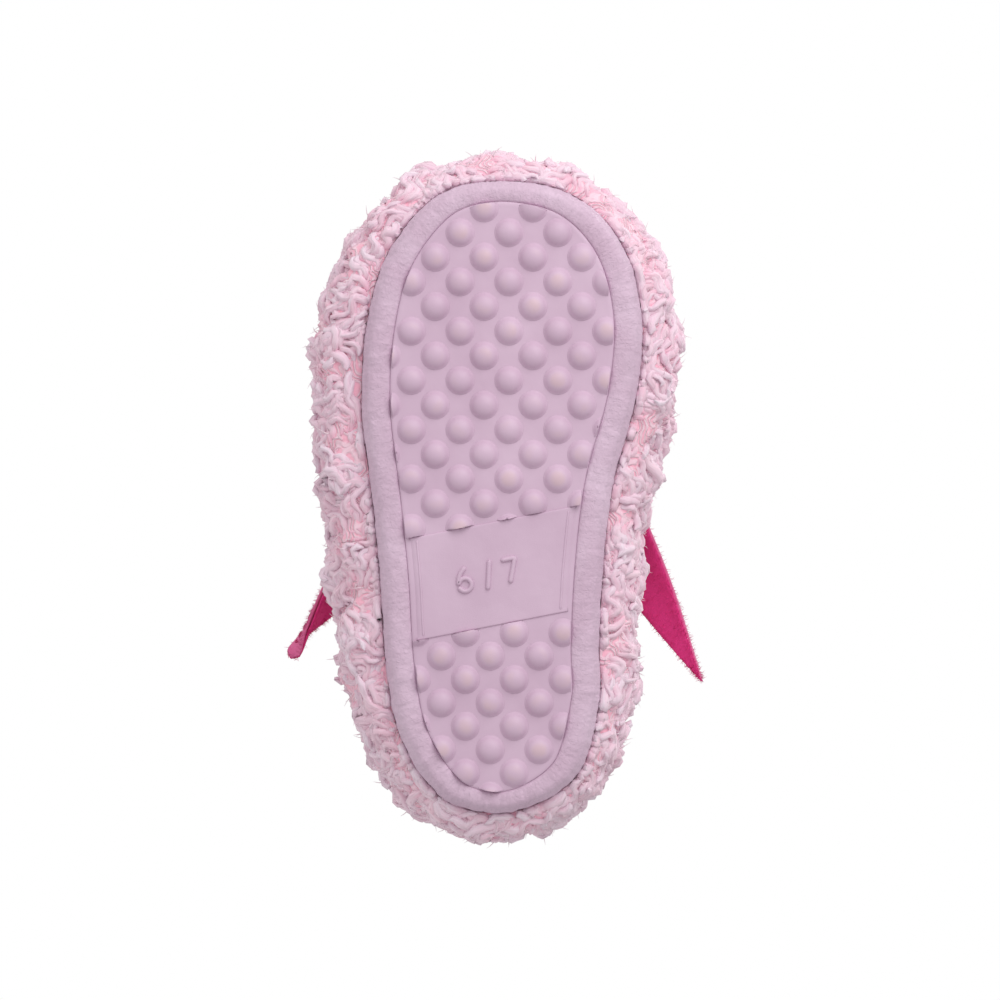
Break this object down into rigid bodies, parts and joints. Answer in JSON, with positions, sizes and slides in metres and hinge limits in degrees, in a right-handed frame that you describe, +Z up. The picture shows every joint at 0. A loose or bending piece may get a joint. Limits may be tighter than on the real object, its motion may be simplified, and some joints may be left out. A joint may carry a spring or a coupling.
{
  "type": "fluffy house slipper",
  "caption": "Child's right-foot house slipper with a curly plush upper, studded rubber sole, padded lining and floppy felt ears.",
  "frame": {"origin": "middle of the part's bounding box, on the floor plane through the flat stud tips", "axes": "+Z up from the floor; +Y towards the heel and -Y towards the toe; +X towards the arch (inner) side of the foot"},
  "size_m": [0.1098, 0.1736, 0.0733],
  "materials": {
    "outsole_rubber": "satin moulded thermoplastic rubber",
    "platform_fabric": "fine creased textile, matte",
    "foam": "closed-cell foam",
    "sock_fabric": "brushed fleece",
    "thread": "sewing thread",
    "pile_fabric": "long curly pile",
    "wadding": "polyester wadding",
    "lining_fabric": "brushed knit",
    "counter_board": "stiffened nonwoven",
    "tape_fabric": "woven tape",
    "binding_fabric": "knitted binding",
    "elastic": "covered elastic",
    "ear_felt": "brushed felt",
    "ear_felt_light": "brushed felt",
    "ear_thread": "sewing thread",
    "ear_tape": "woven tape"
  },
  "bodies": {
    "slipper": {"outsole": "outsole_rubber", "platform_cover": "platform_fabric", "midsole_foam": "foam", "insole_foam": "foam", "sock_lining": "sock_fabric", "sole_seam_thread": "thread", "vamp_plush": "pile_fabric", "left_quarter_plush": "pile_fabric", "right_quarter_plush": "pile_fabric", "vamp_padding": "wadding", "left_quarter_padding": "wadding", "right_quarter_padding": "wadding", "vamp_lining": "lining_fabric", "quarter_lining": "lining_fabric", "heel_counter": "counter_board", "left_seam_tape": "tape_fabric", "right_seam_tape": "tape_fabric", "back_seam_tape": "tape_fabric", "collar_binding": "binding_fabric", "collar_elastic": "elastic", "left_ear_root_tape": "ear_tape", "right_ear_root_tape": "ear_tape"},
    "left_ear": {"left_ear_back_felt": "ear_felt", "left_ear_front_felt": "ear_felt_light", "left_ear_edge_stitch": "ear_thread"},
    "right_ear": {"right_ear_back_felt": "ear_felt", "right_ear_front_felt": "ear_felt_light", "right_ear_edge_stitch": "ear_thread"}
  },
  "joints": [
    {"name": "left_ear_seam", "type": "hinge", "parent": "slipper", "child": "left_ear", "pos_m": [0.022, -0.007, 0.0662], "axis": [0.751, -0.5746, -0.3253], "range_deg": [0, 100]},
    {"name": "right_ear_seam", "type": "hinge", "parent": "slipper", "child": "right_ear", "pos_m": [-0.022, -0.007, 0.0696], "axis": [0.751, 0.5746, 0.3253], "range_deg": [0, 100]}
  ]
}
